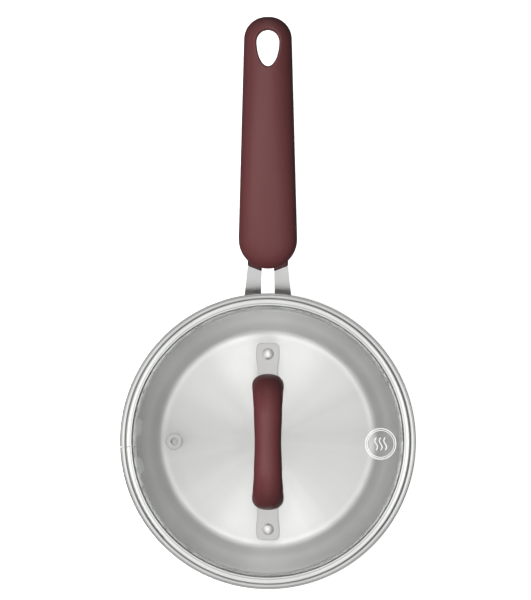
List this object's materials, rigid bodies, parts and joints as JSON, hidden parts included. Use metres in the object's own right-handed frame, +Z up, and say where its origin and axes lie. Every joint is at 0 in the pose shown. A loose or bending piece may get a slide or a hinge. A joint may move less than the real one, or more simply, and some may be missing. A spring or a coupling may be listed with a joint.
{
  "type": "saucepan with glass lid",
  "caption": "Small straight-walled steel saucepan with an encapsulated base, a long soft-touch handle with a hanging eye, and a domed glass lid with a sleeved strap handle.",
  "frame": {"origin": "centre of the flat face that the pan stands on", "axes": "+Z up through the lid, +Y along the long handle away from the pan, +X to the right"},
  "size_m": [0.171, 0.3295, 0.1378],
  "materials": {
    "pan_steel": "satin, brushed in circles inside",
    "polished_steel": "polished",
    "base_aluminium": "rolled",
    "burgundy_grip": "soft-touch matte",
    "burgundy_silicone": "matte silicone",
    "lid_glass": "clear, polished",
    "clear_silicone": "translucent, matte",
    "fastener_steel": "polished"
  },
  "bodies": {
    "pan": {"pan_body": "pan_steel", "base_cap": "pan_steel", "base_core_disc": "base_aluminium", "handle_bracket": "polished_steel", "handle_grip": "burgundy_grip", "handle_screw": "fastener_steel", "handle_screw_washer": "fastener_steel"},
    "lid": {"lid_glass": "lid_glass", "lid_rim_band": "polished_steel", "vent_eyelet": "fastener_steel", "vent_gasket": "clear_silicone", "lid_strap": "polished_steel", "lid_sleeve": "burgundy_silicone", "lid_rivet_rear": "fastener_steel", "lid_rivet_front": "fastener_steel", "strap_gasket_rear": "clear_silicone", "strap_gasket_front": "clear_silicone", "under_gasket_rear": "clear_silicone", "under_gasket_front": "clear_silicone", "rivet_washer_rear": "fastener_steel", "rivet_washer_front": "fastener_steel"}
  },
  "joints": [
    {"name": "lid_lift", "type": "slide", "parent": "pan", "child": "lid", "axis": [0, 0, 1], "range_m": [0, 0.15]}
  ]
}
